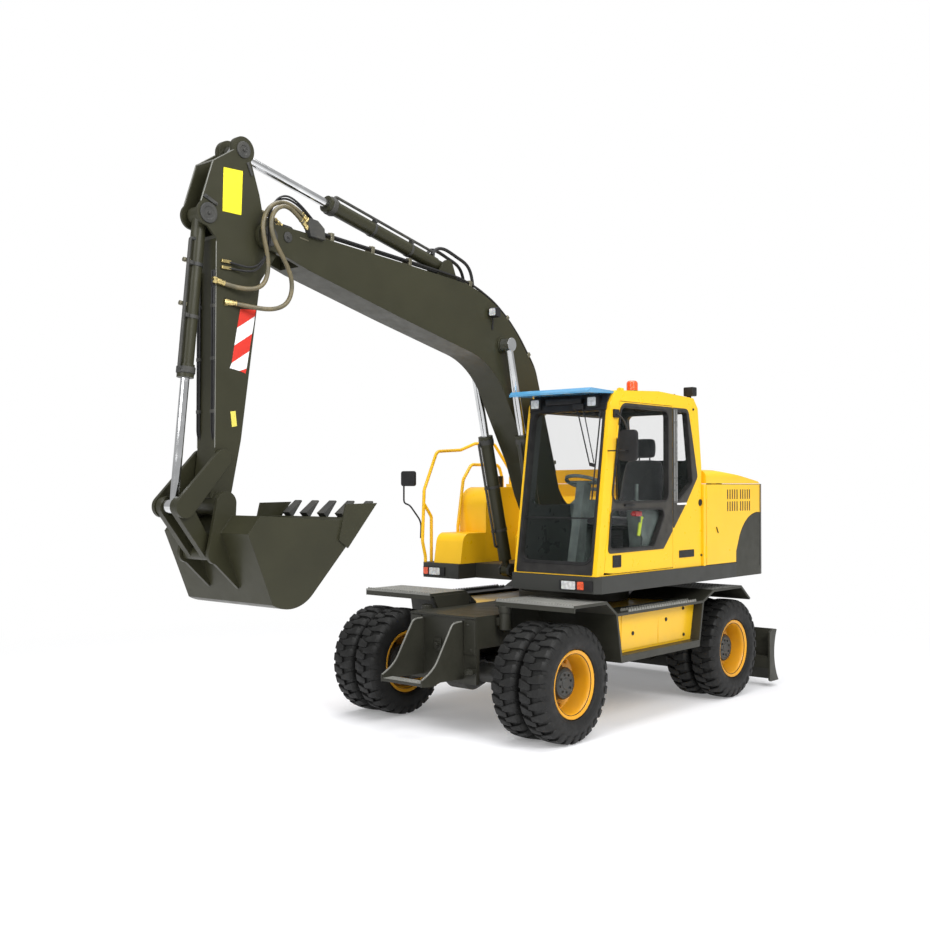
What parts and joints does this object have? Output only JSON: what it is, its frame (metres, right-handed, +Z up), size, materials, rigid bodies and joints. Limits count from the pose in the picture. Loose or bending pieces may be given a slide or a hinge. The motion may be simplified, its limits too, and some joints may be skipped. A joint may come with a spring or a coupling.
{
  "type": "wheeled excavator",
  "caption": "Wheeled excavator with slewing upper body, boom, arm and bucket, twin tyres, steered front axle and rear dozer blade.",
  "frame": {"origin": "on the ground under the middle of the machine's length and width", "axes": "+X forward, +Y to the machine's left, +Z up"},
  "size_m": [7.1299, 2.895, 4.75],
  "materials": {
    "body_paint": "gloss warm yellow",
    "dark_paint": "satin olive charcoal",
    "frame_paint": "satin dark grey",
    "rim_paint": "gloss warm yellow",
    "tyre": "matte black",
    "chrome": "polished",
    "cast": "rough dark",
    "steel": "worn dark",
    "glass": "clear",
    "visor": "tinted blue",
    "trim": "matte black",
    "seat_cloth": "woven black",
    "beacon_lens": "amber"
  },
  "bodies": {
    "chassis": {"chassis_frame": "frame_paint", "tow_lugs": "frame_paint", "front_steps": "frame_paint", "driveline": "cast", "mudguards": "frame_paint", "tool_boxes": "body_paint", "box_steps": "frame_paint", "front_axle": "cast", "rear_axle": "cast"},
    "steering_rod": {"steering_rod": "chrome"},
    "knuckle_left": {"knuckle_left": "cast"},
    "knuckle_right": {"knuckle_right": "cast"},
    "wheel_front_left": {"tyres_front_left": "tyre", "wheel_front_left": "rim_paint"},
    "wheel_front_right": {"tyres_front_right": "tyre", "wheel_front_right": "rim_paint"},
    "wheel_rear_left": {"tyres_rear_left": "tyre", "wheel_rear_left": "rim_paint"},
    "wheel_rear_right": {"tyres_rear_right": "tyre", "wheel_rear_right": "rim_paint"},
    "blade": {"blade": "frame_paint"},
    "blade_barrels": {"blade_barrels": "dark_paint"},
    "blade_rods": {"blade_rods": "chrome"},
    "upper": {"upper_frame": "frame_paint", "slew_ring": "frame_paint", "counterweight": "dark_paint", "engine_block": "cast", "body_panels": "body_paint", "fuel_tank": "body_paint", "tank_cap": "trim", "step_box": "body_paint", "handrails": "body_paint", "mirrors": "trim", "cab_shell": "body_paint", "windshield": "glass", "rear_window": "glass", "side_windows": "glass", "roof_visor": "visor", "seat": "seat_cloth", "controls": "trim", "beacon": "beacon_lens", "head_lamps": "trim", "work_lamps": "trim"},
    "cab_door": {"cab_door": "body_paint", "door_glass": "glass"},
    "side_door_left": {"side_door_left": "body_paint"},
    "side_door_right": {"side_door_right": "body_paint"},
    "engine_hood": {"engine_hood": "body_paint"},
    "boom": {"boom": "dark_paint"},
    "boom_barrels": {"boom_barrels": "dark_paint"},
    "boom_rods": {"boom_rods": "chrome"},
    "arm_barrel": {"arm_barrel": "dark_paint"},
    "arm_rod": {"arm_rod": "chrome"},
    "arm": {"arm": "dark_paint"},
    "bucket_barrel": {"bucket_barrel": "dark_paint"},
    "bucket_rod": {"bucket_rod": "chrome"},
    "rockers": {"rockers": "dark_paint"},
    "bucket_link": {"bucket_link": "dark_paint"},
    "bucket": {"bucket": "dark_paint", "bucket_teeth": "steel"}
  },
  "joints": [
    {"name": "slew", "type": "hinge", "parent": "chassis", "child": "upper", "pos_m": [-1.345, 0, 1.12], "axis": [0, 0, 1], "continuous": true},
    {"name": "boom_lift", "type": "hinge", "parent": "upper", "child": "boom", "pos_m": [-0.895, 0, 1.72], "axis": [0, 1, 0], "range_deg": [-28, 70]},
    {"name": "arm_swing", "type": "hinge", "parent": "boom", "child": "arm", "pos_m": [2.755, 0, 4.04], "axis": [0, -1, 0], "range_deg": [-28, 83]},
    {"name": "bucket_curl", "type": "hinge", "parent": "arm", "child": "bucket", "pos_m": [3.165, 0, 2.05], "axis": [0, -1, 0], "range_deg": [-5, 135]},
    {"name": "blade_lift", "type": "hinge", "parent": "chassis", "child": "blade", "pos_m": [-2.995, 0, 0.56], "axis": [0, 1, 0], "range_deg": [-12, 28]},
    {"name": "steer_left", "type": "hinge", "parent": "chassis", "child": "knuckle_left", "pos_m": [0.355, 0.72, 0.502], "axis": [0, 0, 1], "range_deg": [-25, 25]},
    {"name": "steer_right", "type": "hinge", "parent": "chassis", "child": "knuckle_right", "pos_m": [0.355, -0.72, 0.502], "axis": [0, 0, 1], "range_deg": [-25, 25]},
    {"name": "steering_rod_slide", "type": "slide", "parent": "chassis", "child": "steering_rod", "axis": [0, 1, 0], "range_m": [-0.1, 0.1]},
    {"name": "spin_front_left", "type": "hinge", "parent": "knuckle_left", "child": "wheel_front_left", "pos_m": [0.355, 1, 0.502], "axis": [0, 1, 0], "continuous": true},
    {"name": "spin_front_right", "type": "hinge", "parent": "knuckle_right", "child": "wheel_front_right", "pos_m": [0.355, -1, 0.502], "axis": [0, 1, 0], "continuous": true},
    {"name": "spin_rear_left", "type": "hinge", "parent": "chassis", "child": "wheel_rear_left", "pos_m": [-2.445, 1, 0.502], "axis": [0, 1, 0], "continuous": true},
    {"name": "spin_rear_right", "type": "hinge", "parent": "chassis", "child": "wheel_rear_right", "pos_m": [-2.445, -1, 0.502], "axis": [0, 1, 0], "continuous": true},
    {"name": "cab_door_hinge", "type": "hinge", "parent": "upper", "child": "cab_door", "pos_m": [-0.0745, 1.2295, 1.4], "axis": [0.1668, 0, -0.986], "range_deg": [0, 85]},
    {"name": "side_door_left_hinge", "type": "hinge", "parent": "upper", "child": "side_door_left", "pos_m": [-1.845, 1.2495, 1.785], "axis": [0, 0, -1], "range_deg": [0, 100]},
    {"name": "side_door_right_hinge", "type": "hinge", "parent": "upper", "child": "side_door_right", "pos_m": [-1.845, -1.2495, 1.785], "axis": [0, 0, 1], "range_deg": [0, 100]},
    {"name": "hood_hinge", "type": "hinge", "parent": "upper", "child": "engine_hood", "pos_m": [-3.007, 0, 2.197], "axis": [0, -1, 0], "range_deg": [0, 60]},
    {"name": "rocker_turn", "type": "hinge", "parent": "arm", "child": "rockers", "pos_m": [3.165, 0, 2.37], "axis": [0, -1, 0], "range_deg": [-6, 110]},
    {"name": "link_turn", "type": "hinge", "parent": "rockers", "child": "bucket_link", "pos_m": [3.485, 0, 2.03], "axis": [0, -1, 0], "range_deg": [-75, 5]},
    {"name": "boom_barrel_turn", "type": "hinge", "parent": "upper", "child": "boom_barrels", "pos_m": [-0.535, 0, 1.34], "axis": [0, 1, 0], "range_deg": [-29, 69]},
    {"name": "boom_rod_slide", "type": "slide", "parent": "boom_barrels", "child": "boom_rods", "axis": [0.2449, 0, 0.9696], "range_m": [-0.6033, 0.2443]},
    {"name": "arm_barrel_turn", "type": "hinge", "parent": "boom", "child": "arm_barrel", "pos_m": [0.675, 0, 4.12], "axis": [0, -1, 0], "range_deg": [-2, 2]},
    {"name": "arm_rod_slide", "type": "slide", "parent": "arm_barrel", "child": "arm_rod", "axis": [0.9742, 0, 0.2255], "range_m": [-0.8719, 0.2975]},
    {"name": "bucket_barrel_turn", "type": "hinge", "parent": "arm", "child": "bucket_barrel", "pos_m": [3.275, 0, 4.13], "axis": [0, -1, 0], "range_deg": [-2, 7]},
    {"name": "bucket_rod_slide", "type": "slide", "parent": "bucket_barrel", "child": "bucket_rod", "axis": [0.0995, 0, -0.995], "range_m": [-0.7389, 0.0322]},
    {"name": "blade_barrel_turn", "type": "hinge", "parent": "chassis", "child": "blade_barrels", "pos_m": [-3.005, 0, 0.96], "axis": [0, 1, 0], "range_deg": [-4, 7]},
    {"name": "blade_rod_slide", "type": "slide", "parent": "blade_barrels", "child": "blade_rods", "axis": [-0.4177, 0, -0.9086], "range_m": [-0.0974, 0.0446]}
  ],
  "couplings": [
    {"joint": "steer_right", "follows": "steer_left", "ratio": 1},
    {"joint": "steering_rod_slide", "follows": "steer_left", "m_per_rad": -0.20587},
    {"joint": "rocker_turn", "follows": "bucket_curl", "ratio": 0.76914},
    {"joint": "link_turn", "follows": "bucket_curl", "ratio": -0.51626},
    {"joint": "boom_barrel_turn", "follows": "boom_lift", "ratio": 0.96475},
    {"joint": "boom_rod_slide", "follows": "boom_lift", "m_per_rad": -0.4897},
    {"joint": "arm_barrel_turn", "follows": "arm_swing", "ratio": 0.00676},
    {"joint": "arm_rod_slide", "follows": "arm_swing", "m_per_rad": -0.59846},
    {"joint": "bucket_barrel_turn", "follows": "bucket_curl", "ratio": 0.04294},
    {"joint": "bucket_rod_slide", "follows": "bucket_curl", "m_per_rad": -0.31149},
    {"joint": "blade_barrel_turn", "follows": "blade_lift", "ratio": 0.21089},
    {"joint": "blade_rod_slide", "follows": "blade_lift", "m_per_rad": -0.18899}
  ]
}
